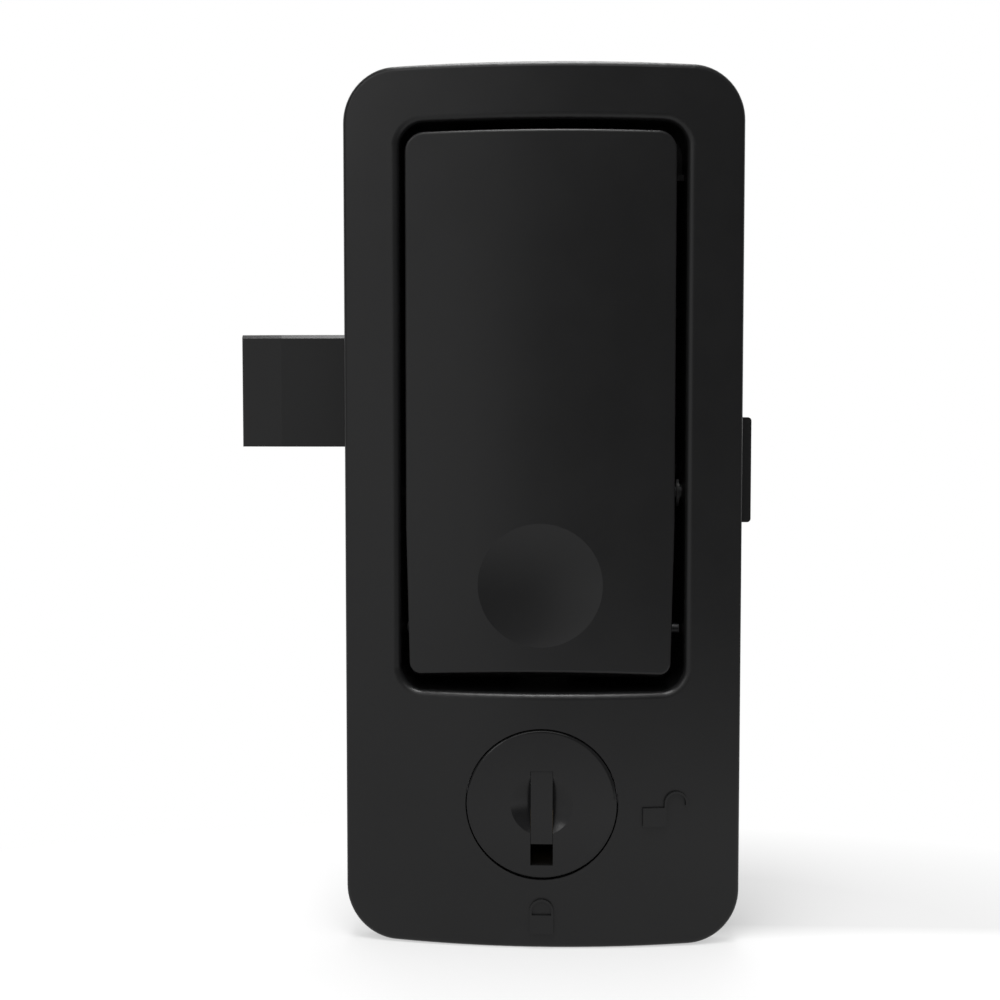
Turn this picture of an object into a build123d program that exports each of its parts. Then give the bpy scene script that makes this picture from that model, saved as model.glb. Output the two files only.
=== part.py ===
from build123d import *
from math import atan2, ceil, cos, degrees, pi, radians, sin, sqrt
import os

# Push-to-close slide latch, in millimetres.
# Seen from the front, X runs to the right, Y into the door and Z up.
# The origin is the middle of the flange, on the plane where its back meets the door panel.

# Front flange
FLANGE_W = 53.0
FLANGE_H = 116.8
FLANGE_CORNER_R = 7.0
FLANGE_EDGE_T = 2.5
FLANGE_FILLET = 0.7
CROWN_R = 108.0
EDGE_ARC_R = 1150.0

# Recess that holds the paddle, and the box behind it
RECESS_W = 37.7
RIM_TOP = 7.4
LOCK_PANEL_H = 34.3
RECESS_CORNER_R = 3.2
LIP_FILLET = 0.9
BOX_WALL = 1.9
COVER_T = 2.0

# Paddle
GAP_LEFT = 0.72
GAP_RIGHT = 1.37
GAP_TOP = 1.26
GAP_KNUCKLE = 0.9
PADDLE_SKIN = 2.4
PADDLE_TOP_R = 2.5
PADDLE_BOTTOM_R = 1.6
PADDLE_FILLET = 0.4
TAPER = 0.5
TAPER_BELOW_PIVOT = 4.3
CHEEK_T = 2.2
CHEEK_DEPTH = 2.4
CHEEK_FOOT_ABOVE_PIVOT = 13.9
RIB_T = 1.6
RIB_RISE = 6.0
KNUCKLE_R = 6.6
KNUCKLE_WALL = 2.0
THUMB_BELOW_PIVOT = 11.9
THUMB_R = 8.2
THUMB_DEPTH = 1.25
THUMB_WALL = 1.5

# Pivot pin, drive pin and drive arm
PIVOT_Y = 4.0
PIVOT_RISE = 26.2
PIVOT_R = 1.0
PIVOT_BOSS_R = 5.0
CHEEK_WAIST_ANGLE = -30.0
CHEEK_SHOULDER_ANGLE = 60.0
SPACER_R = 1.85
SPACER_T = 0.4
SPACER_PLAY = 0.3
DRIVE_Y = 3.0
DRIVE_R = 0.83
DRIVE_END_GAP = 0.25
ARM_T = 4.0
ARM_HUB_R = 4.2
ARM_FOOT_R = 2.7
NOSE_Y = 9.3
NOSE_ABOVE_PIVOT = 20.6
NOSE_R = 1.6
PADDLE_SWING = 30.0

# Bolt, carriage, rods and springs
BOLT_REACH = 16.6
BOLT_ABOVE_PIVOT = 13.93
BOLT_H = 15.9
BOLT_T = 7.0
BOLT_FRONT = 11.2
BOLT_TOP_CHAMFER = 0.5
BOLT_EDGE_CHAMFER = 0.18
BOLT_TIP_L = 5.7
BOLT_TIP_FALL = 0.35
BOLT_RAMP_L = 5.2
BOLT_TRAVEL = 12.5
CARRIAGE_L = 20.0
CARRIAGE_PLATE = 2.2
CARRIAGE_BAR_H = 6.2
WEDGE_UNDER_NOSE = 1.5
WEDGE_FRONT = -2.5
WEDGE_ROOT = 1.325
ROD_R = 1.0
ROD_END_GAP = 0.15
SPRING_BORE_R = 2.4
SPRING_BORE_L = 14.0
SPRING_R = 1.8
SPRING_WIRE = 0.6
SPRING_TURNS = 9
BOLT_SCREW_R = 1.25
BOLT_SCREW_FLOOR = 2.0
BOLT_SCREW_INSET = 5.0
BUSHING_WALL = 1.2
BUSHING_LIP = 1.0

# Torsion spring on the pivot pin, and the post that holds its fixed leg
TORSION_RIGHT_OF_ARM = 6.0
TORSION_R = 2.2
TORSION_WIRE = 0.8
TORSION_PITCH = 1.35
TORSION_FROM_ANGLE = 54.0
TORSION_TO_ANGLE = 160.0
TORSION_TURNS = 4
TORSION_POST_LEG = 5.8
TORSION_SKIN_LEG = 9.5
POST_R = 0.9
POST_AT = 4.92
POST_PAST_LEG = 1.4

# Key lock
LOCK_DROP = 14.9
PLUG_FACE_R = 10.05
PLUG_FACE_T = 2.6
PLUG_FACE_SINK = 0.1
PLUG_GAP = 0.12
PLUG_FILLET = 0.45
PLUG_R = 9.0
BARREL_R = 11.0
BARREL_REAR = 12.0
LOCK_BOSS_R = 13.2
LOCK_BOSS_REAR = 10.0
BARREL_KEY_W = 3.0
BARREL_KEY_H = 1.0
FINGER_DIMPLE_R = 4.15
FINGER_DIMPLE_DEPTH = 1.2
KEY_SLOT_W = 3.0
KEY_SLOT_UP = 4.45
KEY_SLOT_DOWN = 8.2
KEY_WAY_UP = 1.5
KEY_WAY_REAR = 9.1
SHUTTER_DOWN = 5.35
SHUTTER_SINK = 0.1
SHUTTER_T = 1.2
SHUTTER_HUB_R = 0.95
SHUTTER_PIN_R = 0.4
SHUTTER_PIN_L = 12.5
WAFER_COUNT = 4
WAFER_W = 7.8
WAFER_H = 13.6
WAFER_T = 0.65
WAFER_WINDOW_H = 6.8
WAFER_WINDOW_LOW = 3.4
WAFER_STEP = 0.55
WAFER_PITCH = 1.1
WAFER_FIRST_Y = 4.8
CLIP_T = 0.9
CLIP_R = 12.6
CLIP_GROOVE = 0.8
TONGUE_T = 2.0
TONGUE_W = 7.0
TONGUE_HUB_R = 10.2
TONGUE_REACH = 17.0
SPIGOT = 7.0
WASHER_R = 5.0
WASHER_T = 0.8
TONGUE_SCREW_R = 1.5
TONGUE_SCREW_L = 6.0

# Rear cover, its screws and the rubber bumpers
BOSS_R = 3.2
BOSS_INSET = 3.3
BOSS_FRONT = 6.0
EAR_INSET = 0.95
EAR_DROP = 3.6
EAR_R = 3.4
COVER_SCREW_R = 1.3
COVER_SCREW_L = 7.0
BUMPER_R = 2.0
RAIL_W = 1.6
RAIL_H = 1.45
STOP_RIB_W = 0.9
STOP_RIB_H = 0.8
STOP_RIB_FRONT = 2.0
STOP_RIB_L = 9.0
STOP_RIB_DROP = 6.2

# Clamp bracket, its screws and threaded inserts
PANEL_T = 3.0
CLAMP_T = 1.5
CLAMP_H = 10.0
CLAMP_UNDER_BUSHING = 0.925
CLAMP_BEND_R = 1.0
CLAMP_GAP = 0.45
FOOT_CORNER_R = 0.5
FOOT_RISE = 3.2
FOOT_H = 14.28
FOOT_PAST_FLANGE = 1.77
LEFT_FOOT_SHORT = 0.6
CLAMP_SCREW_INSET = 8.75
CLAMP_SCREW_R = 2.0
INSERT_R = 3.0
INSERT_BOSS_R = 4.6
INSERT_BOSS_H = 3.3

# Padlock signs raised beside and below the lock
SIGN_RISE = 0.4
SIGN_BODY_W = 3.16
SIGN_BODY_H = 2.52
SIGN_ARCH_R = 1.58
SIGN_LINE = 0.29
SIGN_LEG = 0.57
SIGN_LOOSE_LEG = 0.42
SIGN_SHUT_UNDER_MIDDLE = 1.355
SIGN_OPEN_X = 15.03
SIGN_OPEN_DROP = 1.73

# Clearances
FIT = 0.02
RUNNING = 0.05
SLIDING = 0.1
LOOSE = 0.3
MARGIN = 2.0

# Screw heads, as shares of the screw's radius
HEAD_R_SHARE = 1.9
HEAD_T_SHARE = 1.0
CROSS_W_SHARE = 0.35

# Sizes that follow
CROWN_RISE = CROWN_R - sqrt(CROWN_R ** 2 - (FLANGE_W / 2) ** 2)
FRONT = -FLANGE_EDGE_T - CROWN_RISE
INNER = RECESS_W / 2
OUTER = INNER + BOX_WALL
RECESS_TOP = FLANGE_H / 2 - RIM_TOP
RECESS_BOTTOM = LOCK_PANEL_H - FLANGE_H / 2
LOCK_Z = RECESS_BOTTOM - LOCK_DROP
PADDLE_LEFT = -INNER + GAP_LEFT
PADDLE_RIGHT = INNER - GAP_RIGHT
PADDLE_TOP = RECESS_TOP - GAP_TOP
PIVOT_Z = RECESS_BOTTOM + PIVOT_RISE
SWEEP_R = PIVOT_RISE - GAP_KNUCKLE
DRIVE_Z = PIVOT_Z - sqrt((SWEEP_R - KNUCKLE_R) ** 2 - (DRIVE_Y - PIVOT_Y) ** 2)
NOSE_Z = PIVOT_Z + NOSE_ABOVE_PIVOT
THUMB_Z = PIVOT_Z - THUMB_BELOW_PIVOT
TAPER_Z = PIVOT_Z - TAPER_BELOW_PIVOT
CHEEK_FOOT = PIVOT_Z + CHEEK_FOOT_ABOVE_PIVOT
BOLT_Z = PIVOT_Z + BOLT_ABOVE_PIVOT
BOLT_LOW = BOLT_Z - BOLT_H / 2
BOLT_HIGH = BOLT_Z + BOLT_H / 2
BOLT_REAR = BOLT_FRONT + BOLT_T
CARRIAGE_RIGHT = INNER - BOLT_TRAVEL - LOOSE
CARRIAGE_LEFT = CARRIAGE_RIGHT - CARRIAGE_L
CARRIAGE_LOW = BOLT_LOW - SLIDING - CARRIAGE_BAR_H
CARRIAGE_HIGH = BOLT_HIGH + SLIDING + CARRIAGE_BAR_H
CARRIAGE_REAR = BOLT_REAR + CARRIAGE_PLATE
BOLT_SCREW_X = (CARRIAGE_LEFT + BOLT_SCREW_INSET, CARRIAGE_RIGHT - BOLT_SCREW_INSET)
BOX_DEPTH = CARRIAGE_REAR + LOOSE / 2 + RAIL_H
ROD_Y = BOLT_FRONT + BOLT_T / 2
ROD_ZS = (CARRIAGE_LOW + CARRIAGE_BAR_H / 2, CARRIAGE_HIGH - CARRIAGE_BAR_H / 2)
WEDGE_LOW = NOSE_Z - WEDGE_UNDER_NOSE
PLUG_FRONT = FRONT + PLUG_FACE_SINK
BARREL_FRONT = PLUG_FRONT + PLUG_FACE_T + SLIDING
COVER_REAR = BOX_DEPTH + COVER_T
BOSS_X = INNER - BOSS_INSET
BOSS_Z = RECESS_TOP - BOSS_INSET
EAR_X = OUTER - EAR_R - EAR_INSET
EAR_Z = RECESS_BOTTOM - BOX_WALL - EAR_DROP
TONGUE_FRONT = BARREL_REAR + 2 * SLIDING
TONGUE_REAR = TONGUE_FRONT + TONGUE_T
EAR_FRONT = TONGUE_REAR + LOOSE
INSERT_REAR = COVER_REAR + INSERT_BOSS_H
STRAP_FRONT = INSERT_REAR + LOOSE
BUSHING_OUTER = BUSHING_WALL + SLIDING + BUSHING_LIP
CLAMP_HIGH = BOLT_LOW - BUSHING_OUTER - CLAMP_UNDER_BUSHING
CLAMP_LOW = CLAMP_HIGH - CLAMP_H
CLAMP_SCREW_X = OUTER - CLAMP_SCREW_INSET
CLAMP_SCREW_Z = (CLAMP_LOW + CLAMP_HIGH) / 2
FOOT_LOW = CLAMP_LOW + FOOT_RISE
FOOT_HIGH = FOOT_LOW + FOOT_H
FOOT_END = FLANGE_W / 2 + FOOT_PAST_FLANGE
STOP_RIB_Z = RECESS_TOP - STOP_RIB_DROP
SIGN_SHUT_Z = (LOCK_Z - PLUG_FACE_R - FLANGE_H / 2) / 2 - SIGN_SHUT_UNDER_MIDDLE
SIGN_OPEN_Z = LOCK_Z - SIGN_OPEN_DROP
# How far the nose comes forward over the paddle's whole swing, and how much the slide moves for it
SWING = radians(PADDLE_SWING)
NOSE_TRAVEL = (NOSE_Y - PIVOT_Y) * (1 - cos(SWING)) + NOSE_ABOVE_PIVOT * sin(SWING)
WEDGE_SLOPE = BOLT_TRAVEL / NOSE_TRAVEL
WEDGE_REAR_X = CARRIAGE_RIGHT - WEDGE_ROOT
NOSE_OFFSET = (NOSE_R + SLIDING) * sqrt(1 + WEDGE_SLOPE ** 2)
ARM_RIGHT = WEDGE_REAR_X - WEDGE_SLOPE * (BOLT_FRONT - NOSE_Y) - NOSE_OFFSET
TORSION_X = ARM_RIGHT + TORSION_RIGHT_OF_ARM


def slab(profile, near, far):
    """A profile drawn in X and Z, solid between two depths."""
    return extrude(Plane.XZ.offset(-far) * profile, amount=far - near)


def beam(profile, left, right):
    """A profile drawn in Y and Z, solid from left to right."""
    return extrude(Plane.YZ.offset(left) * profile, amount=right - left)


def column(profile, low, high):
    """A profile drawn in X and Y, solid between two heights."""
    return extrude(Plane.XY.offset(low) * profile, amount=high - low)


def block(x, y, z):
    """A box from three pairs of low and high values."""
    middle = Pos((x[0] + x[1]) / 2, (y[0] + y[1]) / 2, (z[0] + z[1]) / 2)
    return middle * Box(x[1] - x[0], y[1] - y[0], z[1] - z[0])


def rod_x(y, z, radius, left, right):
    return beam(Pos(y, z) * Circle(radius), left, right)


def rod_y(x, z, radius, near, far):
    return slab(Pos(x, z) * Circle(radius), near, far)


def polar(centre, radius, degrees):
    return (centre[0] + radius * cos(radians(degrees)), centre[1] + radius * sin(radians(degrees)))


def outline(points):
    """A closed face: a plain point ends a line, and a pair of points is an arc's middle and end."""
    edges = []
    at = points[0]
    for entry in points[1:]:
        if isinstance(entry[0], tuple):
            edges.append(ThreePointArc(at, entry[0], entry[1]))
            at = entry[1]
        else:
            edges.append(Line(at, entry))
            at = entry
    if at != points[0]:
        edges.append(Line(at, points[0]))
    return make_face(edges)


def arched_panel(width, top, bottom, corner):
    """An upright panel whose top and bottom edges bow out a little."""
    half = width / 2
    sag = EDGE_ARC_R - sqrt(EDGE_ARC_R ** 2 - half ** 2)
    face = outline([
        (-half, bottom + sag),
        (-half, top - sag),
        ((0, top), (half, top - sag)),
        (half, bottom + sag),
        ((0, bottom), (-half, bottom + sag)),
    ])
    return fillet(face.vertices(), corner)


def crown(inset, low, high):
    """The upright cylinder whose front gives the flange its crown."""
    return column(Pos(0, FRONT + CROWN_R) * Circle(CROWN_R - inset), low, high)


def pan_screw(x, z, radius, seat, length):
    """A screw whose domed cross head rests on a seat and points to the rear."""
    head_r = radius * HEAD_R_SHARE
    head_t = radius * HEAD_T_SHARE
    head = rod_y(x, z, head_r, seat, seat + head_t)
    head = fillet(head.faces().sort_by(Axis.Y)[-1].edges(), head_t / 2)
    arm = head_r / 2
    groove = radius * CROSS_W_SHARE / 2
    recess = (seat + head_t / 2, seat + head_t + MARGIN)
    head -= block((x - arm, x + arm), recess, (z - groove, z + groove))
    head -= block((x - groove, x + groove), recess, (z - arm, z + arm))
    return head + rod_y(x, z, radius, seat - length, seat)


def crown_face(solid):
    """The crowned front: the face of the widest cylinder."""
    return solid.faces().filter_by(GeomType.CYLINDER).sort_by(SortBy.AREA)[-1]


def sign_pieces(x, z, bow_x, right_leg):
    """A padlock seen from the front: its body, its bow, and the bow's legs, the left one in the body."""
    top = z + SIGN_BODY_H / 2
    spring = top + SIGN_LEG
    bow = Pos(bow_x, spring) * (Circle(SIGN_ARCH_R) - Circle(SIGN_ARCH_R - SIGN_LINE))
    bow &= Pos(bow_x, spring + SIGN_ARCH_R) * Rectangle(2 * SIGN_ARCH_R, 2 * SIGN_ARCH_R)
    middle = SIGN_ARCH_R - SIGN_LINE / 2
    legs = [
        Pos(bow_x + place, spring + (FIT - long) / 2) * Rectangle(SIGN_LINE, long + FIT)
        for place, long in ((-middle, SIGN_LEG + FIT), (middle, right_leg))
    ]
    return [Pos(x, z) * Rectangle(SIGN_BODY_W, SIGN_BODY_H), bow] + legs


def make_housing():
    """Flange, recess, box walls, lock boss, screw bosses and the spring post, moulded in one."""
    face = arched_panel(FLANGE_W, FLANGE_H / 2, -FLANGE_H / 2, FLANGE_CORNER_R)
    solid = slab(face, FRONT - MARGIN, 0) & crown(0, -FLANGE_H, FLANGE_H)
    solid = fillet(crown_face(solid).outer_wire().edges(), FLANGE_FILLET)
    recess = arched_panel(RECESS_W, RECESS_TOP, RECESS_BOTTOM, RECESS_CORNER_R)
    shell = arched_panel(
        2 * OUTER, RECESS_TOP + BOX_WALL, RECESS_BOTTOM - BOX_WALL, RECESS_CORNER_R + BOX_WALL
    )
    hollow = slab(recess, FRONT - MARGIN, BOX_DEPTH + MARGIN)
    solid = solid + slab(shell, -FLANGE_EDGE_T, BOX_DEPTH) - hollow
    solid = fillet(crown_face(solid).inner_wires()[0].edges(), LIP_FILLET)
    # Bosses in the upper corners and lugs below the box, behind the tongue, for the cover screws
    for side in (-1, 1):
        x = side * BOSS_X
        corner = block(
            sorted((x - side * BOSS_R, side * INNER)), (BOSS_FRONT, BOX_DEPTH), (BOSS_Z - BOSS_R, RECESS_TOP)
        )
        solid += corner & hollow
        web = block(
            (side * EAR_X - EAR_R, side * EAR_X + EAR_R),
            (EAR_FRONT, BOX_DEPTH),
            (EAR_Z, RECESS_BOTTOM - BOX_WALL / 2),
        )
        solid += web + rod_y(side * EAR_X, EAR_Z, EAR_R, EAR_FRONT, BOX_DEPTH)
    for x, z in cover_screw_places():
        solid -= rod_y(x, z, COVER_SCREW_R + FIT, BOX_DEPTH - COVER_SCREW_L, BOX_DEPTH + MARGIN)
    # Lock boss with its bore, the hole for the plug's face and the slot that keeps the barrel from turning
    solid += rod_y(0, LOCK_Z, LOCK_BOSS_R, -FLANGE_EDGE_T, LOCK_BOSS_REAR)
    solid -= rod_y(0, LOCK_Z, BARREL_R + FIT, BARREL_FRONT - FIT, LOCK_BOSS_REAR + MARGIN)
    solid -= rod_y(0, LOCK_Z, PLUG_FACE_R + PLUG_GAP, FRONT - MARGIN, BARREL_FRONT)
    key_half = BARREL_KEY_W / 2 + SLIDING
    solid -= block(
        (-key_half, key_half),
        (BARREL_FRONT - FIT, LOCK_BOSS_REAR + MARGIN),
        (LOCK_Z - BARREL_R - BARREL_KEY_H - SLIDING, LOCK_Z),
    )
    # Window for the lock's tongue in the box's lower wall
    solid -= block(
        (-TONGUE_REACH * sin(pi / 4) - LOOSE, TONGUE_W / 2 + 2 * LOOSE),
        (TONGUE_FRONT - LOOSE, BOX_DEPTH + MARGIN),
        (RECESS_BOTTOM - BOX_WALL - MARGIN, RECESS_BOTTOM + MARGIN),
    )
    # Window for the bolt's bushing
    solid -= bushing_core(-OUTER - MARGIN, -INNER + MARGIN, FIT)
    # Holes for the pivot pin and the guide rods
    solid -= rod_x(PIVOT_Y, PIVOT_Z, PIVOT_R + FIT, -OUTER - MARGIN, OUTER + MARGIN)
    for z in ROD_ZS:
        solid -= rod_x(ROD_Y, z, ROD_R + FIT, -OUTER - MARGIN, OUTER + MARGIN)
    # Post for the torsion spring's fixed leg, and the small rib beside the paddle's top
    post = torsion_post()
    solid += rod_x(post[0], post[1], POST_R, TORSION_X - POST_PAST_LEG, INNER + BOX_WALL / 2)
    solid += block(
        (INNER - STOP_RIB_W, INNER + BOX_WALL / 2),
        (STOP_RIB_FRONT, STOP_RIB_FRONT + STOP_RIB_L),
        (STOP_RIB_Z - STOP_RIB_H, STOP_RIB_Z),
    )
    # Padlock signs
    swung_bow = SIGN_OPEN_X + SIGN_BODY_W / 2 + SIGN_ARCH_R - SIGN_LINE
    raised = crown(-SIGN_RISE, -FLANGE_H, FLANGE_H)
    signs = sign_pieces(0, SIGN_SHUT_Z, 0, SIGN_LEG + FIT)
    for piece in signs + sign_pieces(SIGN_OPEN_X, SIGN_OPEN_Z, swung_bow, SIGN_LOOSE_LEG):
        solid += slab(piece, FRONT - MARGIN, -FLANGE_EDGE_T) & raised
    return solid


def cover_screw_places():
    return [(-BOSS_X, BOSS_Z), (BOSS_X, BOSS_Z), (-EAR_X, EAR_Z), (EAR_X, EAR_Z)]


def paddle_side(inset, top, rear):
    """The paddle's side view: an underside round the pivot that runs into the knuckle."""
    pivot, drive = (PIVOT_Y, PIVOT_Z), (DRIVE_Y, DRIVE_Z)
    sweep = SWEEP_R - inset
    knuckle = KNUCKLE_R - inset
    front = FRONT - MARGIN
    meet = degrees(atan2(DRIVE_Z - PIVOT_Z, DRIVE_Y - PIVOT_Y))
    foot_z = PIVOT_Z - sqrt(sweep ** 2 - (PIVOT_Y - front) ** 2)
    start = degrees(atan2(foot_z - PIVOT_Z, front - PIVOT_Y))
    return [
        (front, top),
        (front, foot_z),
        (polar(pivot, sweep, (start + meet) / 2), polar(drive, knuckle, meet)),
        (polar(drive, knuckle, meet / 2), polar(drive, knuckle, 0)),
    ] + rear


def make_paddle():
    """Hollow paddle: crowned skin, two cheeks, two ribs beside the arm and a rolled lower knuckle."""
    pivot = (PIVOT_Y, PIVOT_Z)
    cheek_rear = FRONT + PADDLE_SKIN + CHEEK_DEPTH
    outer = outline(paddle_side(0, PADDLE_TOP, [
        polar(pivot, PIVOT_BOSS_R, CHEEK_WAIST_ANGLE),
        (polar(pivot, PIVOT_BOSS_R, 0), polar(pivot, PIVOT_BOSS_R, CHEEK_SHOULDER_ANGLE)),
        (cheek_rear, CHEEK_FOOT),
        (cheek_rear, PADDLE_TOP),
    ]))
    far = BOX_DEPTH + MARGIN
    inner = outline(paddle_side(KNUCKLE_WALL, PADDLE_TOP - PADDLE_SKIN, [
        (far, DRIVE_Z),
        (far, PADDLE_TOP - PADDLE_SKIN),
    ]))
    low = RECESS_BOTTOM
    sag = EDGE_ARC_R - sqrt(EDGE_ARC_R ** 2 - INNER ** 2)
    face = outline([
        (PADDLE_LEFT + TAPER, low),
        (PADDLE_LEFT, TAPER_Z),
        (PADDLE_LEFT, PADDLE_TOP - sag),
        (((PADDLE_LEFT + PADDLE_RIGHT) / 2, PADDLE_TOP), (PADDLE_RIGHT, PADDLE_TOP - sag)),
        (PADDLE_RIGHT, TAPER_Z),
        (PADDLE_RIGHT - TAPER, low),
    ])
    face = fillet(face.vertices().group_by(Axis.Y)[-1], PADDLE_TOP_R)
    solid = beam(outer, PADDLE_LEFT - MARGIN, PADDLE_RIGHT + MARGIN) & crown(0, -FLANGE_H, FLANGE_H)
    solid &= slab(face, FRONT - MARGIN, far)
    solid = fillet(under_edges(solid), PADDLE_BOTTOM_R)
    solid = fillet(crown_face(solid).outer_wire().edges(), PADDLE_FILLET)
    hollow = beam(inner, PADDLE_LEFT + CHEEK_T, PADDLE_RIGHT - CHEEK_T)
    hollow &= crown(PADDLE_SKIN, -FLANGE_H, FLANGE_H)
    for left in (ARM_RIGHT - ARM_T - SLIDING - RIB_T, ARM_RIGHT + SLIDING):
        hollow -= block((left, left + RIB_T), (FRONT, far), (RECESS_BOTTOM, PIVOT_Z + RIB_RISE))
    solid = solid - (hollow - thumb_barrel(THUMB_WALL)) - thumb_barrel(0)
    solid -= rod_x(PIVOT_Y, PIVOT_Z, PIVOT_R + RUNNING, PADDLE_LEFT - MARGIN, PADDLE_RIGHT + MARGIN)
    return solid - rod_x(DRIVE_Y, DRIVE_Z, DRIVE_R + FIT, PADDLE_LEFT - MARGIN, PADDLE_RIGHT + MARGIN)


def under_edges(solid):
    """The two side edges of the paddle's underside, forward of the knuckle."""
    under = [e for e in solid.edges() if e.center().Z < DRIVE_Z and e.center().Y < DRIVE_Y]
    return [e for e in under if e.bounding_box().size.X < TAPER and e.bounding_box().size.Y > KNUCKLE_WALL]


def thumb_barrel(grow):
    """The upright barrel that hollows out the round thumb dimple, grown for the skin behind it."""
    across = (THUMB_R ** 2 + THUMB_DEPTH ** 2) / (2 * THUMB_DEPTH)
    round_x = across * CROWN_R / (CROWN_R - across)
    deepest = FRONT + THUMB_DEPTH
    axis_y = deepest - round_x
    half = THUMB_R + MARGIN
    side_y = deepest - across + sqrt((across + grow) ** 2 - half ** 2)
    face = outline([
        (axis_y, THUMB_Z - half),
        (side_y, THUMB_Z - half),
        ((deepest + grow, THUMB_Z), (side_y, THUMB_Z + half)),
        (axis_y, THUMB_Z + half),
    ])
    barrel = revolve(Plane.YZ * face, Axis((0, axis_y, 0), (0, 0, 1)), 360)
    return Pos((PADDLE_LEFT + PADDLE_RIGHT) / 2, 0, 0) * barrel


def make_drive_arm():
    """Lever between the paddle's ribs: a foot on the drive pin, a hub on the pivot, a round nose."""
    pivot, foot, nose = (PIVOT_Y, PIVOT_Z), (DRIVE_Y, DRIVE_Z), (NOSE_Y, NOSE_Z)
    profile = belt(Pos(*pivot) * Circle(ARM_HUB_R), Pos(*foot) * Circle(ARM_FOOT_R))
    profile += belt(Pos(*pivot) * Circle(ARM_FOOT_R), Pos(*nose) * Circle(NOSE_R))
    arm = beam(profile, ARM_RIGHT - ARM_T, ARM_RIGHT)
    arm += Pos(ARM_RIGHT, NOSE_Y, NOSE_Z) * Sphere(NOSE_R)
    arm -= rod_x(PIVOT_Y, PIVOT_Z, PIVOT_R + RUNNING, -OUTER, OUTER)
    return arm - rod_x(DRIVE_Y, DRIVE_Z, DRIVE_R + FIT, -OUTER, OUTER)


def belt(one, other):
    """The shape of a tight belt round two circles."""
    return make_face(Wire.make_convex_hull(one.edges() + other.edges()).edges())


def make_carriage():
    """Slide behind the bolt, with spring bores above and below and the wedge that the nose works."""
    x = (CARRIAGE_LEFT, CARRIAGE_RIGHT)
    solid = block(x, (BOLT_REAR, CARRIAGE_REAR), (CARRIAGE_LOW, CARRIAGE_HIGH))
    solid += block(x, (BOLT_FRONT, BOLT_REAR), (CARRIAGE_LOW, BOLT_LOW - SLIDING))
    solid += block(x, (BOLT_FRONT, BOLT_REAR), (BOLT_HIGH + SLIDING, CARRIAGE_HIGH))
    wedge = outline([
        (WEDGE_REAR_X - WEDGE_SLOPE * (BOLT_FRONT - WEDGE_FRONT), WEDGE_FRONT),
        (WEDGE_REAR_X, BOLT_FRONT),
        (CARRIAGE_RIGHT, BOLT_FRONT),
        (CARRIAGE_RIGHT, WEDGE_FRONT),
    ])
    solid += column(wedge, WEDGE_LOW, CARRIAGE_HIGH)
    for z in ROD_ZS:
        solid -= rod_x(ROD_Y, z, ROD_R + SLIDING, -OUTER, OUTER)
        solid -= rod_x(ROD_Y, z, SPRING_BORE_R, CARRIAGE_RIGHT - SPRING_BORE_L, OUTER)
    for screw_x in BOLT_SCREW_X:
        solid -= rod_y(screw_x, BOLT_Z, BOLT_SCREW_R + SLIDING, BOLT_REAR - MARGIN, CARRIAGE_REAR + MARGIN)
    return solid


def make_bolt():
    """Bar with a bevelled tip: a slight fall at the front and a ramp at the rear for the strike."""
    tip = -FLANGE_W / 2 - BOLT_REACH
    face = outline([
        (tip, BOLT_FRONT + BOLT_TIP_FALL),
        (tip + BOLT_TIP_L, BOLT_FRONT),
        (CARRIAGE_RIGHT - LOOSE, BOLT_FRONT),
        (CARRIAGE_RIGHT - LOOSE, BOLT_REAR),
        (tip + BOLT_RAMP_L, BOLT_REAR),
        (tip, BOLT_REAR - BOLT_RAMP_L),
    ])
    solid = column(face, BOLT_LOW, BOLT_HIGH)
    tops = solid.edges().filter_by(lambda e: e.center().Z > BOLT_HIGH - FIT)
    front = [e for e in tops if e.center().Y < BOLT_FRONT + BOLT_TIP_FALL]
    solid = chamfer(front, BOLT_TOP_CHAMFER)
    end = solid.faces().sort_by(Axis.X)[0].edges()
    solid = chamfer(end.filter_by(Axis.Z), BOLT_EDGE_CHAMFER)
    for x in BOLT_SCREW_X:
        solid -= rod_y(x, BOLT_Z, BOLT_SCREW_R + FIT, BOLT_FRONT + BOLT_SCREW_FLOOR, BOLT_REAR + MARGIN)
    return solid


def make_bolt_screws():
    length = BOLT_T - BOLT_SCREW_FLOOR - LOOSE + CARRIAGE_PLATE
    return [pan_screw(x, BOLT_Z, BOLT_SCREW_R, CARRIAGE_REAR, length) for x in BOLT_SCREW_X]


def bushing_core(left, right, grow):
    wall = BUSHING_WALL + SLIDING + grow
    return block((left, right), (BOLT_FRONT - wall, BOLT_REAR + wall), (BOLT_LOW - wall, BOLT_HIGH + wall))


def make_bushing():
    """Liner of the bolt's window, with a lip outside the box."""
    solid = bushing_core(-OUTER, -INNER, 0) + bushing_core(-OUTER - BUSHING_LIP, -OUTER, BUSHING_LIP)
    hole = SLIDING
    return solid - block(
        (-OUTER - MARGIN, -INNER + MARGIN),
        (BOLT_FRONT - hole, BOLT_REAR + hole),
        (BOLT_LOW - hole, BOLT_HIGH + hole),
    )


def biarc(start, start_way, end, end_way):
    """Two arcs that leave one point and reach the next along the given directions."""
    chord = end - start
    both = start_way + end_way
    a = 2 * (1 - start_way.dot(end_way))
    b = 2 * chord.dot(both)
    c = -chord.dot(chord)
    reach = (sqrt(b * b - 4 * a * c) - b) / (2 * a)
    joint = (start + start_way * reach + end - end_way * reach) * 0.5
    way = (end - end_way * reach - start - start_way * reach).normalized()
    return [Edge.make_tangent_arc(start, start_way, joint), Edge.make_tangent_arc(joint, way, end)]


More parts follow.
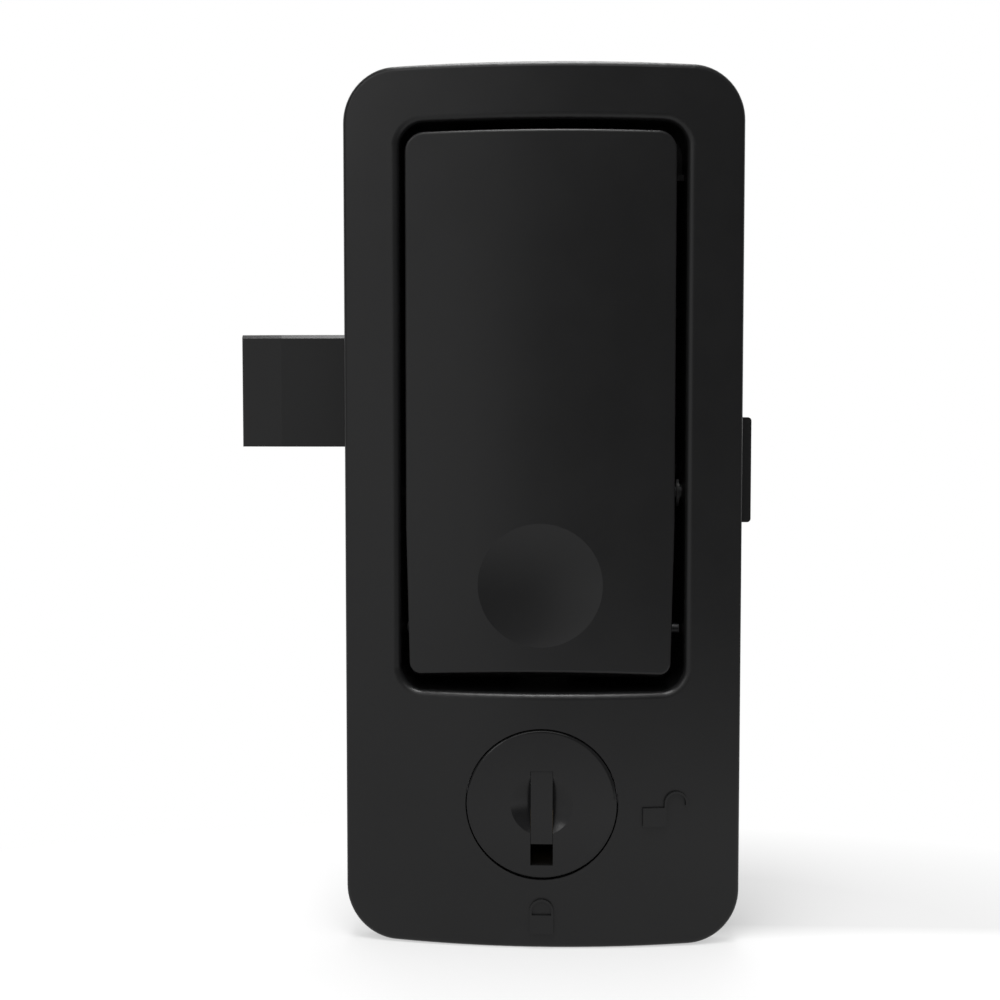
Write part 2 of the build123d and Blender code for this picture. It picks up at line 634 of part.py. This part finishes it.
def coil_point(y, z, radius, left, pitch, degrees, start):
    """A point of a winding about an axis along X, and the winding's direction there."""
    turn = radians(degrees)
    place = Vector(left + pitch * (degrees - start) / 360, y + radius * cos(turn), z + radius * sin(turn))
    way = Vector(pitch / (2 * pi), -radius * sin(turn), radius * cos(turn)).normalized()
    return place, way


def coil(y, z, radius, left, pitch, start, end, wire, first_leg, last_leg):
    """One unbroken wire: a straight leg, the winding in quarter turns, and a straight leg."""
    steps = ceil((end - start) / 90)
    marks = [start + (end - start) * i / steps for i in range(steps + 1)]
    points = [coil_point(y, z, radius, left, pitch, m, start) for m in marks]
    tail = points[0][0] - points[0][1] * first_leg
    edges = [Edge.make_line(tail, points[0][0])]
    for (a, way_a), (b, way_b) in zip(points, points[1:]):
        edges += biarc(a, way_a, b, way_b)
    edges.append(Edge.make_line(points[-1][0], points[-1][0] + points[-1][1] * last_leg))
    path = Wire(edges)
    return sweep(Plane(tail, z_dir=points[0][1]) * Circle(wire / 2), path)


def torsion_end(degrees, leg):
    place, way = coil_point(PIVOT_Y, PIVOT_Z, TORSION_R, 0, TORSION_PITCH, degrees, degrees)
    return place + way * leg, way


def torsion_post():
    """Middle of the post, which lies just above the spring's fixed leg."""
    place, way = torsion_end(TORSION_FROM_ANGLE, -POST_AT)
    off = POST_R + TORSION_WIRE / 2 + SLIDING
    return place.Y + way.Z * off, place.Z - way.Y * off


def make_torsion_spring():
    end = TORSION_TO_ANGLE + 360 * TORSION_TURNS
    print("torsion spring, gap between turns %.2f mm" % (TORSION_PITCH - TORSION_WIRE))
    return coil(
        PIVOT_Y, PIVOT_Z, TORSION_R, TORSION_X, TORSION_PITCH,
        TORSION_FROM_ANGLE, end, TORSION_WIRE, TORSION_POST_LEG, TORSION_SKIN_LEG,
    )


def make_bolt_springs():
    """Springs between the floors of the carriage's bores and the box's right wall."""
    left = CARRIAGE_RIGHT - SPRING_BORE_L + SPRING_WIRE / 2 + SLIDING
    right = INNER - SPRING_WIRE / 2 - SLIDING
    pitch = (right - left) / SPRING_TURNS
    print("bolt springs, gap between turns %.2f mm" % (pitch - SPRING_WIRE))
    return [
        coil(ROD_Y, z, SPRING_R, left, pitch, 0, 360 * SPRING_TURNS, SPRING_WIRE, SPRING_WIRE, SPRING_WIRE)
        for z in ROD_ZS
    ]


def make_plug():
    """Round face with a finger dimple and key slot, and the body that turns in the barrel."""
    solid = rod_y(0, LOCK_Z, PLUG_FACE_R, PLUG_FRONT, PLUG_FRONT + PLUG_FACE_T)
    solid = fillet(solid.faces().sort_by(Axis.Y)[0].edges(), PLUG_FILLET)
    solid += rod_y(0, LOCK_Z, PLUG_R, PLUG_FRONT + PLUG_FACE_T, BARREL_REAR)
    half = SPIGOT / 2
    solid += block((-half, half), (BARREL_REAR, TONGUE_REAR - SLIDING), (LOCK_Z - half, LOCK_Z + half))
    radius = (FINGER_DIMPLE_R ** 2 + FINGER_DIMPLE_DEPTH ** 2) / (2 * FINGER_DIMPLE_DEPTH)
    solid -= Pos(0, PLUG_FRONT + FINGER_DIMPLE_DEPTH - radius, LOCK_Z) * Sphere(radius)
    slot = (-KEY_SLOT_W / 2, KEY_SLOT_W / 2)
    bay_rear = WAFER_FIRST_Y - LOOSE
    solid -= block(slot, (FRONT - MARGIN, bay_rear), (LOCK_Z - KEY_SLOT_DOWN, LOCK_Z + KEY_SLOT_UP))
    solid -= block(slot, (bay_rear - FIT, KEY_WAY_REAR), (LOCK_Z - KEY_SLOT_DOWN, LOCK_Z + KEY_WAY_UP))
    for y in wafer_places():
        x = WAFER_W / 2 + SLIDING
        z = WAFER_H / 2 + SLIDING
        middle = LOCK_Z - RUNNING
        solid -= block((-x, x), (y - RUNNING, y + WAFER_T + RUNNING), (middle - z, middle + z))
    pin_y, pin_z = shutter_axis()
    solid -= rod_x(pin_y, pin_z, SHUTTER_PIN_R + FIT, PLUG_R / 2 - SHUTTER_PIN_L, PLUG_R / 2)
    screw = TONGUE_SCREW_R + FIT
    return solid - rod_y(0, LOCK_Z, screw, TONGUE_REAR - TONGUE_SCREW_L, BOX_DEPTH)


def wafer_places():
    return [WAFER_FIRST_Y + WAFER_PITCH * i for i in range(WAFER_COUNT)]


def make_wafers():
    """Tumbler plates, each with a window for the key."""
    window = (-KEY_SLOT_W / 2 - SLIDING, KEY_SLOT_W / 2 + SLIDING)
    plates = []
    for i, y in enumerate(wafer_places()):
        depth = (y, y + WAFER_T)
        x = (-WAFER_W / 2, WAFER_W / 2)
        middle = LOCK_Z - RUNNING
        plate = block(x, depth, (middle - WAFER_H / 2, middle + WAFER_H / 2))
        low = LOCK_Z - WAFER_WINDOW_LOW - WAFER_STEP * (i % 2)
        plates.append(plate - block(window, (y - MARGIN, y + MARGIN), (low, low + WAFER_WINDOW_H)))
    return plates


def shutter_axis():
    return PLUG_FRONT + SHUTTER_SINK + SHUTTER_HUB_R, LOCK_Z + KEY_SLOT_UP - SHUTTER_HUB_R - SLIDING


def make_shutter():
    """Flap that closes the key slot down to the open square below it."""
    y, z = shutter_axis()
    half = KEY_SLOT_W / 2 - RUNNING
    front = PLUG_FRONT + SHUTTER_SINK
    solid = rod_x(y, z, SHUTTER_HUB_R, -half, half)
    top = LOCK_Z + KEY_SLOT_UP - RUNNING
    solid += block((-half, half), (front, front + SHUTTER_T), (LOCK_Z - SHUTTER_DOWN, top))
    return solid - rod_x(y, z, SHUTTER_PIN_R + RUNNING, -OUTER, OUTER)


def make_shutter_pin():
    y, z = shutter_axis()
    return rod_x(y, z, SHUTTER_PIN_R, PLUG_R / 2 - SHUTTER_PIN_L + SLIDING, PLUG_R / 2 - SLIDING)


def make_barrel():
    """Sleeve round the plug, with a key that stops it turning and a groove for its clip."""
    solid = rod_y(0, LOCK_Z, BARREL_R, BARREL_FRONT, BARREL_REAR)
    half = BARREL_KEY_W / 2
    solid += block(
        (-half, half), (BARREL_FRONT + FIT, LOCK_BOSS_REAR - FIT), (LOCK_Z - BARREL_R - BARREL_KEY_H, LOCK_Z)
    )
    groove = rod_y(0, LOCK_Z, BARREL_R + MARGIN, LOCK_BOSS_REAR, LOCK_BOSS_REAR + CLIP_T + SLIDING)
    solid -= groove - rod_y(0, LOCK_Z, BARREL_R - CLIP_GROOVE, 0, BOX_DEPTH)
    return solid - rod_y(0, LOCK_Z, PLUG_R + RUNNING, FRONT, BOX_DEPTH)


def make_barrel_clip():
    """Horseshoe clip, open downwards, that draws the barrel against the boss."""
    near = LOCK_BOSS_REAR + SLIDING / 2
    bite = BARREL_R - CLIP_GROOVE + RUNNING
    ring = rod_y(0, LOCK_Z, CLIP_R, near, near + CLIP_T) - rod_y(0, LOCK_Z, bite, 0, BOX_DEPTH)
    mouth = bite * sin(pi / 4)
    return ring - block((-mouth, mouth), (0, BOX_DEPTH), (LOCK_Z - 2 * CLIP_R, LOCK_Z))


def make_tongue():
    """Blocking tongue: a hub on the plug's square spigot and a finger that points up when locked."""
    shape = Pos(0, LOCK_Z) * Circle(TONGUE_HUB_R)
    shape += Pos(0, LOCK_Z + TONGUE_REACH / 2) * Rectangle(TONGUE_W, TONGUE_REACH)
    solid = slab(shape, TONGUE_FRONT, TONGUE_REAR)
    half = SPIGOT / 2 + FIT
    return solid - block((-half, half), (0, BOX_DEPTH), (LOCK_Z - half, LOCK_Z + half))


def make_washer():
    disc = rod_y(0, LOCK_Z, WASHER_R, TONGUE_REAR, TONGUE_REAR + WASHER_T)
    return disc - rod_y(0, LOCK_Z, TONGUE_SCREW_R + SLIDING, 0, BOX_DEPTH)


def make_tongue_screw():
    return pan_screw(0, LOCK_Z, TONGUE_SCREW_R, TONGUE_REAR + WASHER_T, WASHER_T + TONGUE_SCREW_L - SLIDING)


def make_cover():
    """Rear cover with screw ears, rails behind the carriage and bosses for the threaded inserts."""
    shell = arched_panel(
        2 * OUTER, RECESS_TOP + BOX_WALL, RECESS_BOTTOM - BOX_WALL, RECESS_CORNER_R + BOX_WALL
    )
    for side in (-1, 1):
        shell += Pos(side * EAR_X, EAR_Z) * Circle(EAR_R)
        shell += Pos(side * EAR_X, (EAR_Z + RECESS_BOTTOM) / 2) * Rectangle(2 * EAR_R, RECESS_BOTTOM - EAR_Z)
    solid = slab(shell, BOX_DEPTH, COVER_REAR)
    for low in (CARRIAGE_LOW + RAIL_W / 2, CARRIAGE_HIGH - 3 * RAIL_W / 2):
        rail = (CARRIAGE_REAR + LOOSE / 2, BOX_DEPTH)
        solid += block((CARRIAGE_LEFT, INNER - LOOSE), rail, (low, low + RAIL_W))
    for side in (-1, 1):
        x = side * CLAMP_SCREW_X
        solid += rod_y(x, CLAMP_SCREW_Z, INSERT_BOSS_R, COVER_REAR, INSERT_REAR)
        solid -= rod_y(x, CLAMP_SCREW_Z, INSERT_R + FIT, BOX_DEPTH + COVER_T / 2, INSERT_REAR + MARGIN)
    for x, z in cover_screw_places():
        solid -= rod_y(x, z, COVER_SCREW_R + SLIDING, 0, COVER_REAR + MARGIN)
    return solid


def make_cover_screws():
    length = COVER_T + COVER_SCREW_L - LOOSE
    return [pan_screw(x, z, COVER_SCREW_R, COVER_REAR, length) for x, z in cover_screw_places()]


def make_inserts():
    """Threaded inserts in the cover's two bosses."""
    near = BOX_DEPTH + COVER_T / 2 + FIT
    return [
        rod_y(side * CLAMP_SCREW_X, CLAMP_SCREW_Z, INSERT_R, near, INSERT_REAR)
        - rod_y(side * CLAMP_SCREW_X, CLAMP_SCREW_Z, CLAMP_SCREW_R + FIT, 0, INSERT_REAR + MARGIN)
        for side in (-1, 1)
    ]


def make_clamp_screws():
    seat = STRAP_FRONT + CLAMP_T
    length = seat - BOX_DEPTH - COVER_T / 2 - LOOSE
    return [pan_screw(side * CLAMP_SCREW_X, CLAMP_SCREW_Z, CLAMP_SCREW_R, seat, length) for side in (-1, 1)]


def clamp_side(side, foot_end):
    """One half of the bent strap, seen from above: back, leg and foot."""
    near = OUTER + CLAMP_GAP
    far = near + CLAMP_T
    rear = STRAP_FRONT + CLAMP_T
    rear_bend = (side * (far - CLAMP_BEND_R), rear - CLAMP_BEND_R)
    foot_bend = (side * (near + CLAMP_BEND_R), PANEL_T + CLAMP_BEND_R)
    half_turn = 90 - side * 45
    return outline([
        (0, STRAP_FRONT),
        (side * near, STRAP_FRONT),
        (side * near, foot_bend[1]),
        (polar(foot_bend, CLAMP_BEND_R, half_turn - 180), (foot_bend[0], PANEL_T)),
        (side * foot_end, PANEL_T),
        (side * foot_end, PANEL_T + CLAMP_T),
        (side * far, PANEL_T + CLAMP_T),
        (side * far, rear_bend[1]),
        (polar(rear_bend, CLAMP_BEND_R, half_turn), (rear_bend[0], rear)),
        (0, rear),
    ])


def make_clamp():
    """Bent strap behind the cover whose two feet press on the back of the door panel."""
    leg = OUTER + CLAMP_GAP
    solid = column(clamp_side(-1, FLANGE_W / 2 - LEFT_FOOT_SHORT), CLAMP_LOW, CLAMP_HIGH)
    right = column(clamp_side(1, FOOT_END), CLAMP_LOW, FOOT_HIGH)
    right -= block((-MARGIN, leg), (0, 2 * STRAP_FRONT), (CLAMP_HIGH, FOOT_HIGH + MARGIN))
    right -= block((leg + CLAMP_T, 2 * OUTER), (0, BOX_DEPTH), (CLAMP_LOW - MARGIN, FOOT_LOW))
    solid += right
    for x in (-CLAMP_SCREW_X, CLAMP_SCREW_X):
        solid -= rod_y(x, CLAMP_SCREW_Z, CLAMP_SCREW_R + SLIDING, 0, 2 * STRAP_FRONT)
    tips = [e for e in solid.edges().filter_by(Axis.Y) if abs(e.center().X - FOOT_END) < FIT]
    return fillet(tips, FOOT_CORNER_R)


def make_bumpers():
    """Rubber studs on the upper bosses, which the paddle's cheeks rest against."""
    front = FRONT + PADDLE_SKIN + CHEEK_DEPTH + LOOSE
    return [rod_y(side * BOSS_X, BOSS_Z - SLIDING, BUMPER_R, front, BOSS_FRONT) for side in (-1, 1)]


def make_spacer():
    right = INNER - SPACER_PLAY
    ring = rod_x(PIVOT_Y, PIVOT_Z, SPACER_R, right - SPACER_T, right)
    return ring - rod_x(PIVOT_Y, PIVOT_Z, PIVOT_R + FIT, 0, OUTER)


def make_guide_rods():
    end = OUTER - ROD_END_GAP
    return [rod_x(ROD_Y, z, ROD_R, -end, end) for z in ROD_ZS]


def make_drive_pin():
    return rod_x(DRIVE_Y, DRIVE_Z, DRIVE_R, -INNER + DRIVE_END_GAP, INNER - DRIVE_END_GAP)


def make_pivot_pin():
    end = OUTER - ROD_END_GAP
    return rod_x(PIVOT_Y, PIVOT_Z, PIVOT_R, -end, end)


PIECES = {
    "housing": make_housing,
    "paddle": make_paddle,
    "pivot_pin": make_pivot_pin,
    "pivot_spacer": make_spacer,
    "drive_pin": make_drive_pin,
    "drive_arm": make_drive_arm,
    "paddle_spring": make_torsion_spring,
    "paddle_bumpers": make_bumpers,
    "bolt": make_bolt,
    "slide_carriage": make_carriage,
    "bolt_screws": make_bolt_screws,
    "bolt_bushing": make_bushing,
    "guide_rods": make_guide_rods,
    "bolt_springs": make_bolt_springs,
    "lock_plug": make_plug,
    "lock_barrel": make_barrel,
    "barrel_clip": make_barrel_clip,
    "lock_wafers": make_wafers,
    "key_shutter": make_shutter,
    "shutter_pin": make_shutter_pin,
    "lock_tongue": make_tongue,
    "tongue_washer": make_washer,
    "tongue_screw": make_tongue_screw,
    "rear_cover": make_cover,
    "cover_screws": make_cover_screws,
    "clamp_inserts": make_inserts,
    "clamp_bracket": make_clamp,
    "clamp_screws": make_clamp_screws,
}

os.makedirs("parts", exist_ok=True)
for node, make in PIECES.items():
    made = make()
    shape = Compound(made) if isinstance(made, list) else made
    export_step(shape, "parts/" + node + ".step")
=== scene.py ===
from math import pi, radians

import bpy
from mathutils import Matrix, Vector

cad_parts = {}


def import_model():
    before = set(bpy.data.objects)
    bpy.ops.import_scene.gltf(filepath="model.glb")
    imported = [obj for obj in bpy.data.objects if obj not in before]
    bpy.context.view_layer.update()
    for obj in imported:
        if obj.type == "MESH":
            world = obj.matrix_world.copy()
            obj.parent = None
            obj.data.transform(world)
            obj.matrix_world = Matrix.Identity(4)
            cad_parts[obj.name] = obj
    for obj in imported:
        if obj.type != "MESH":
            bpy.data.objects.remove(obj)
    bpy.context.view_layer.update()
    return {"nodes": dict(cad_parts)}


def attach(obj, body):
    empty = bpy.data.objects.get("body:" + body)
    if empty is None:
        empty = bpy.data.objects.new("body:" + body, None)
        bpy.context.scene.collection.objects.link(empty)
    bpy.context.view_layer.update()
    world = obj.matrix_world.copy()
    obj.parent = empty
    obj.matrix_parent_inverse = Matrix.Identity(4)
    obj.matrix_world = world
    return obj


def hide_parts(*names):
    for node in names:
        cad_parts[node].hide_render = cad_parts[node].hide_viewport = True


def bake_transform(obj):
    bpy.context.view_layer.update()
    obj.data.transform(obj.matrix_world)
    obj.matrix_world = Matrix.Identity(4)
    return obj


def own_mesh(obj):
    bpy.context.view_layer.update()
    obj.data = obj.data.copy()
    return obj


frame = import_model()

# Camera
CAMERA_SPOT = (0.0029, -0.2086, 0.0134)
CAMERA_PITCH = 3.35
CAMERA_YAW = 2.38
SENSOR = 36.0
LENS = 55.73
CLIP_NEAR = 0.01
CLIP_FAR = 20.0

# Room: light that reaches matt surfaces, and what shiny ones mirror in front of and behind the object
ROOM_LIGHT = 0.52
ROOM_MIRRORED = 0.11
BEHIND_FROM = 0.25
BEHIND_FULL = 0.6

# Floor: its plain tone, the glow beside the object and the dimmer glow of a painted shadow, where that
# painted shadow lies, how far it reaches, and the painted light that shiny surfaces mirror of it at each
# distance and on the left
FLOOR_Z = -0.0584
FLOOR_HALF = 2.5
FLOOR_ALBEDO = 0.4
FLOOR_SHADE_ALBEDO = 0.42
# Painted shadow: the floor's glow is dimmer behind and right of the object than beside it.
FLOOR_GLOW_IN_PAINTED_SHADOW = 0.30
FLOOR_GLOW_LIT = 0.51
FLOOR_PAINTED_SHADOW_X = (0.0, 0.02)
FLOOR_PAINTED_SHADOW_Y = (-0.001, 0.005)
FLOOR_SHADE_STRETCH = (0.5, 1.0, 1.0)
FLOOR_SHADE_NEAR = 0.066
FLOOR_SHADE_FAR = 0.082
# Painted light: in mirrors the floor glows brighter near the object and on the left.
FLOOR_MIRRORED_REACH = 0.6
FLOOR_MIRRORED_PAINTED_LIGHT = (
    (0.02, 0.46), (0.045, 0.48), (0.075, 0.60), (0.13, 0.43), (0.20, 0.27), (0.38, 0.175), (0.60, 0.11),
)
FLOOR_LEFT_PAINTED_LIGHT = 0.46
FLOOR_LEFT_SLANT = 0.09
FLOOR_LEFT_BLEND = (-0.04, 0.015)

# Light: name, place, aimed at, width, height, radiance
LIGHTS = (
    ("left_panel", (-0.62, -0.62, 0.17), (-0.62, 0.0, 0.17), 1.10, 0.46, 0.31),
    ("top_panel", (-0.01, 0.013, 0.62), (-0.01, 0.013, 0.0), 0.24, 0.66, 9.0),
    ("front_panel", (-0.05, -0.62, 0.62), (0.0, 0.0, 0.02), 0.70, 0.30, 1.2),
    ("key", (-0.63, -0.60, 0.49), (0.0, 0.0, 0.0), 0.34, 0.34, 2.0),
)


def camera():
    data = bpy.data.cameras.new("camera")
    data.sensor_width = SENSOR
    data.lens = LENS
    data.clip_start = CLIP_NEAR
    data.clip_end = CLIP_FAR
    obj = bpy.data.objects.new("camera", data)
    obj.location = CAMERA_SPOT
    obj.rotation_euler = (radians(90.0 - CAMERA_PITCH), 0.0, radians(CAMERA_YAW))
    bpy.context.collection.objects.link(obj)
    bpy.context.scene.camera = obj


def light(name, place, aim, width, height, radiance):
    data = bpy.data.lights.new(name, "AREA")
    data.shape = "RECTANGLE"
    data.size = width
    data.size_y = height
    data.energy = radiance * pi * width * height
    obj = bpy.data.objects.new(name, data)
    obj.location = place
    obj.rotation_euler = (Vector(aim) - Vector(place)).to_track_quat("-Z", "Y").to_euler()
    obj.visible_camera = False
    bpy.context.collection.objects.link(obj)


class Nodes:
    """Short calls for building one node tree."""

    def __init__(self, tree):
        self.tree = tree

    def add(self, kind, inputs=None, **settings):
        node = self.tree.nodes.new("ShaderNode" + kind)
        for key, value in settings.items():
            setattr(node, key, value)
        for key, value in (inputs or {}).items():
            if isinstance(value, bpy.types.NodeSocket):
                self.tree.links.new(value, node.inputs[key])
            else:
                node.inputs[key].default_value = value
        return node

    def math(self, operation, a, b=0.0):
        return self.add("Math", {0: a, 1: b}, operation=operation).outputs[0]

    def mix_colour(self, factor, a, b):
        node = self.add("Mix", {0: factor, 6: a, 7: b}, data_type="RGBA")
        return node.outputs[2]

    def mix_shader(self, factor, a, b):
        return self.add("MixShader", {0: factor, 1: a, 2: b}).outputs[0]

    def remap(self, value, low, high, to_low, to_high):
        node = self.add("MapRange", {0: value, 1: low, 2: high, 3: to_low, 4: to_high})
        return node.outputs[0]


def world():
    """White to the camera, an even light for matt surfaces, a dim room with a white far side in mirrors."""
    made = bpy.data.worlds.new("room")
    bpy.context.scene.world = made
    made.use_nodes = True
    made.cycles.sampling_method = "NONE"
    tree = made.node_tree
    tree.nodes.clear()
    n = Nodes(tree)
    white = n.add("Background", {"Strength": 1.0, "Color": (1, 1, 1, 1)}).outputs[0]
    even = n.add("Background", {"Strength": ROOM_LIGHT, "Color": (1, 1, 1, 1)}).outputs[0]
    dim = n.add("Background", {"Strength": ROOM_MIRRORED, "Color": (1, 1, 1, 1)}).outputs[0]
    way = n.add("SeparateXYZ", {0: n.add("TexCoord").outputs["Generated"]}).outputs
    behind = n.remap(way["Y"], BEHIND_FROM, BEHIND_FULL, 0.0, 1.0)
    path = n.add("LightPath").outputs
    sharp = n.math("MAXIMUM", path["Is Glossy Ray"], path["Is Transmission Ray"])
    mirrored = n.mix_shader(behind, dim, white)
    seen = n.mix_shader(path["Is Camera Ray"], n.mix_shader(sharp, even, mirrored), white)
    n.add("OutputWorld", {0: seen})


def floor():
    """White ground that keeps the object's shadow near it, adds a painted shadow behind and right of it
    where its glow is dimmer, fades into the white room, and glows in mirrors as a painted pool of light,
    brighter near the object and on the left.
    """
    h = FLOOR_HALF
    mesh = bpy.data.meshes.new("floor")
    corners = [(x, y, FLOOR_Z) for x, y in ((-h, -h), (h, -h), (h, h), (-h, h))]
    mesh.from_pydata(corners, [], [(0, 1, 2, 3)])
    obj = bpy.data.objects.new("floor", mesh)
    bpy.context.collection.objects.link(obj)
    made = bpy.data.materials.new("floor")
    made.use_nodes = True
    tree = made.node_tree
    tree.nodes.clear()
    n = Nodes(tree)
    place = n.add("NewGeometry").outputs["Position"]
    spot = n.add("SeparateXYZ", {0: place}).outputs
    drawn = n.add("VectorMath", {0: place, 1: FLOOR_SHADE_STRETCH}, operation="MULTIPLY").outputs[0]
    near = n.add("VectorMath", {0: drawn}, operation="LENGTH").outputs["Value"]
    far = n.remap(near, FLOOR_SHADE_NEAR, FLOOR_SHADE_FAR, 0.0, 1.0)
    # painted shadow: the glow drops behind and right of the object
    shadow = n.math("MULTIPLY", n.remap(spot["X"], *FLOOR_PAINTED_SHADOW_X, 0.0, 1.0),
                    n.remap(spot["Y"], *FLOOR_PAINTED_SHADOW_Y, 0.0, 1.0))
    level = n.remap(shadow, 0.0, 1.0, FLOOR_GLOW_LIT, FLOOR_GLOW_IN_PAINTED_SHADOW)
    shade = n.add("BsdfDiffuse", {"Color": (FLOOR_SHADE_ALBEDO,) * 3 + (1,)}).outputs[0]
    glow = n.add("Emission", {"Strength": level}).outputs[0]
    near_look = n.add("AddShader", {0: shade, 1: glow}).outputs[0]
    white = n.add("Emission", {"Strength": 1.0}).outputs[0]
    look = n.mix_shader(far, near_look, white)
    plain = n.add("BsdfDiffuse", {"Color": (FLOOR_ALBEDO,) * 3 + (1,)}).outputs[0]
    # painted light in mirrors: the floor's glow falls off with distance from the object and is brighter on
    # the left
    level_place = n.add("VectorMath", {0: place, 1: (1.0, 1.0, 0.0)}, operation="MULTIPLY").outputs[0]
    away = n.add("VectorMath", {0: level_place}, operation="LENGTH").outputs["Value"]
    fall = n.add("ValToRGB", {0: n.math("DIVIDE", away, FLOOR_MIRRORED_REACH)})
    stops = fall.color_ramp.elements
    for i, (reach, level) in enumerate(FLOOR_MIRRORED_PAINTED_LIGHT):
        share = reach / FLOOR_MIRRORED_REACH
        stop = stops[i] if i < 2 else stops.new(share)
        stop.position = share
        stop.color = (level, level, level, 1)
    slant = n.math("SUBTRACT", spot["X"], n.math("MULTIPLY", spot["Y"], FLOOR_LEFT_SLANT))
    left = n.remap(slant, *FLOOR_LEFT_BLEND, 1.0, 0.0)
    painted_light_mirrored = n.mix_colour(left, fall.outputs[0], (FLOOR_LEFT_PAINTED_LIGHT,) * 3 + (1,))
    mirrored = n.add("Emission", {"Color": painted_light_mirrored, "Strength": 1.0}).outputs[0]
    path = n.add("LightPath").outputs
    other = n.mix_shader(path["Is Glossy Ray"], plain, mirrored)
    surface = n.mix_shader(path["Is Camera Ray"], other, look)
    n.add("OutputMaterial", {"Surface": surface})
    mesh.materials.append(made)


# Finish: share of the broad blotches in the tone, the span of tone that is used, and the noises' detail
BROAD_SHARE = 0.6
TONE_SPAN = (0.3, 0.7)
BROAD_DETAIL = (3.0, 0.55)
FINE_DETAIL = (2.0, 0.5)


def noise(n, vector, scale, detail):
    inputs = {"Vector": vector, "Scale": scale, "Detail": detail[0], "Roughness": detail[1]}
    return n.add("TexNoise", inputs).outputs[0]


def material(name, dark, light_tone, rough, rough_span, grain, depth, metallic=0.0, stretch=(1, 1, 1),
             blotch=120.0, specular=0.5):
    """A finish with blotches of tone, a roughness that varies, and a grain that stands in relief.

    grain and blotch are cycles per metre, depth is the grain's relief in metres, and stretch draws both out.
    """
    made = bpy.data.materials.new(name)
    made.use_nodes = True
    tree = made.node_tree
    tree.nodes.clear()
    n = Nodes(tree)
    spot = n.add("TexCoord").outputs["Object"]
    drawn = n.add("Mapping", {"Vector": spot, "Scale": stretch}).outputs[0]
    broad = noise(n, drawn, blotch, BROAD_DETAIL)
    fine = noise(n, drawn, grain, FINE_DETAIL)
    tone = n.math("ADD", n.math("MULTIPLY", broad, BROAD_SHARE), n.math("MULTIPLY", fine, 1.0 - BROAD_SHARE))
    colour = n.mix_colour(n.remap(tone, *TONE_SPAN, 0.0, 1.0), tuple(dark) + (1,), tuple(light_tone) + (1,))
    roughness = n.remap(tone, *TONE_SPAN, rough - rough_span, rough + rough_span)
    relief = n.add("Bump", {"Strength": 1.0, "Distance": depth, "Height": fine}).outputs[0]
    surface = n.add("BsdfPrincipled", {"Base Color": colour, "Roughness": roughness, "Normal": relief,
                                       "Metallic": metallic, "Specular IOR Level": specular})
    n.add("OutputMaterial", {"Surface": surface.outputs[0]})
    return made


BLACK = (0.0084, 0.0084, 0.0088)
BLACK_HIGH = (0.0106, 0.0106, 0.0110)
ALONG_X = (0.03, 1.0, 1.0)

FINISHES = {
    "housing_plastic": dict(
        dark=BLACK, light_tone=BLACK_HIGH,
        rough=0.34, rough_span=0.03, grain=4200, depth=3e-6,
    ),
    "paddle_plastic": dict(
        dark=BLACK, light_tone=BLACK_HIGH,
        rough=0.33, rough_span=0.03, grain=4200, depth=3e-6,
    ),
    "bolt_plastic": dict(
        dark=BLACK, light_tone=BLACK_HIGH,
        rough=0.36, rough_span=0.04, grain=3600, depth=3e-6,
    ),
    "lock_face": dict(
        dark=BLACK, light_tone=BLACK_HIGH,
        rough=0.21, rough_span=0.03, grain=2600, depth=2e-6, specular=0.46,
    ),
    "black_steel": dict(
        dark=BLACK, light_tone=BLACK_HIGH,
        rough=0.36, rough_span=0.05, grain=1500, depth=8e-6,
    ),
    "bumper_rubber": dict(
        dark=(0.010,) * 3, light_tone=(0.018,) * 3,
        rough=0.72, rough_span=0.08, grain=3000, depth=1e-5, specular=0.35,
    ),
    "dark_acetal": dict(
        dark=(0.05, 0.05, 0.05), light_tone=(0.07, 0.07, 0.07),
        rough=0.42, rough_span=0.05, grain=2500, depth=3e-6,
    ),
    "lock_zinc": dict(
        dark=(0.40, 0.40, 0.41), light_tone=(0.52, 0.52, 0.53),
        rough=0.40, rough_span=0.08, grain=2200, depth=8e-6, metallic=1.0, blotch=300,
    ),
    "wafer_brass": dict(
        dark=(0.26, 0.19, 0.09), light_tone=(0.36, 0.26, 0.12),
        rough=0.38, rough_span=0.08, grain=2500, depth=4e-6, metallic=1.0,
    ),
    "ground_steel": dict(
        dark=(0.06, 0.06, 0.062), light_tone=(0.10, 0.10, 0.103),
        rough=0.42, rough_span=0.07, grain=9000, depth=2e-6, metallic=1.0, stretch=ALONG_X, blotch=600,
    ),
    "spring_wire": dict(
        dark=(0.12, 0.12, 0.123), light_tone=(0.20, 0.20, 0.205),
        rough=0.32, rough_span=0.08, grain=7000, depth=2e-6, metallic=1.0,
    ),
    "plated_screws": dict(
        dark=(0.50, 0.51, 0.54), light_tone=(0.64, 0.65, 0.67),
        rough=0.26, rough_span=0.08, grain=5000, depth=2e-6, metallic=1.0,
    ),
}


def paint():
    """Every carried-over solid takes the finish of its own material slot."""
    made = {name: material(name, **values) for name, values in FINISHES.items()}
    for obj in frame["nodes"].values():
        slot = obj.material_slots[0].material.name
        for one in obj.material_slots:
            one.material = made[slot.split(".")[0]]


def stand_in(node):
    """The same mesh as a carried-over solid, shown in its place while the solid is hidden."""
    source = frame["nodes"][node]
    obj = bpy.data.objects.new(node + "_working", source.data.copy())
    bpy.context.collection.objects.link(obj)
    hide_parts(node)
    return obj


def springs():
    """Stand-ins for the springs: the bolt springs join the root body with a mesh of their own, and the
    paddle spring's placement is baked into its mesh.
    """
    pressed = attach(stand_in("bolt_springs"), "root")
    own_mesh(pressed)
    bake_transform(stand_in("paddle_spring"))


camera()
world()
floor()
for entry in LIGHTS:
    light(*entry)
paint()
springs()
bpy.context.scene.view_settings.view_transform = "Standard"
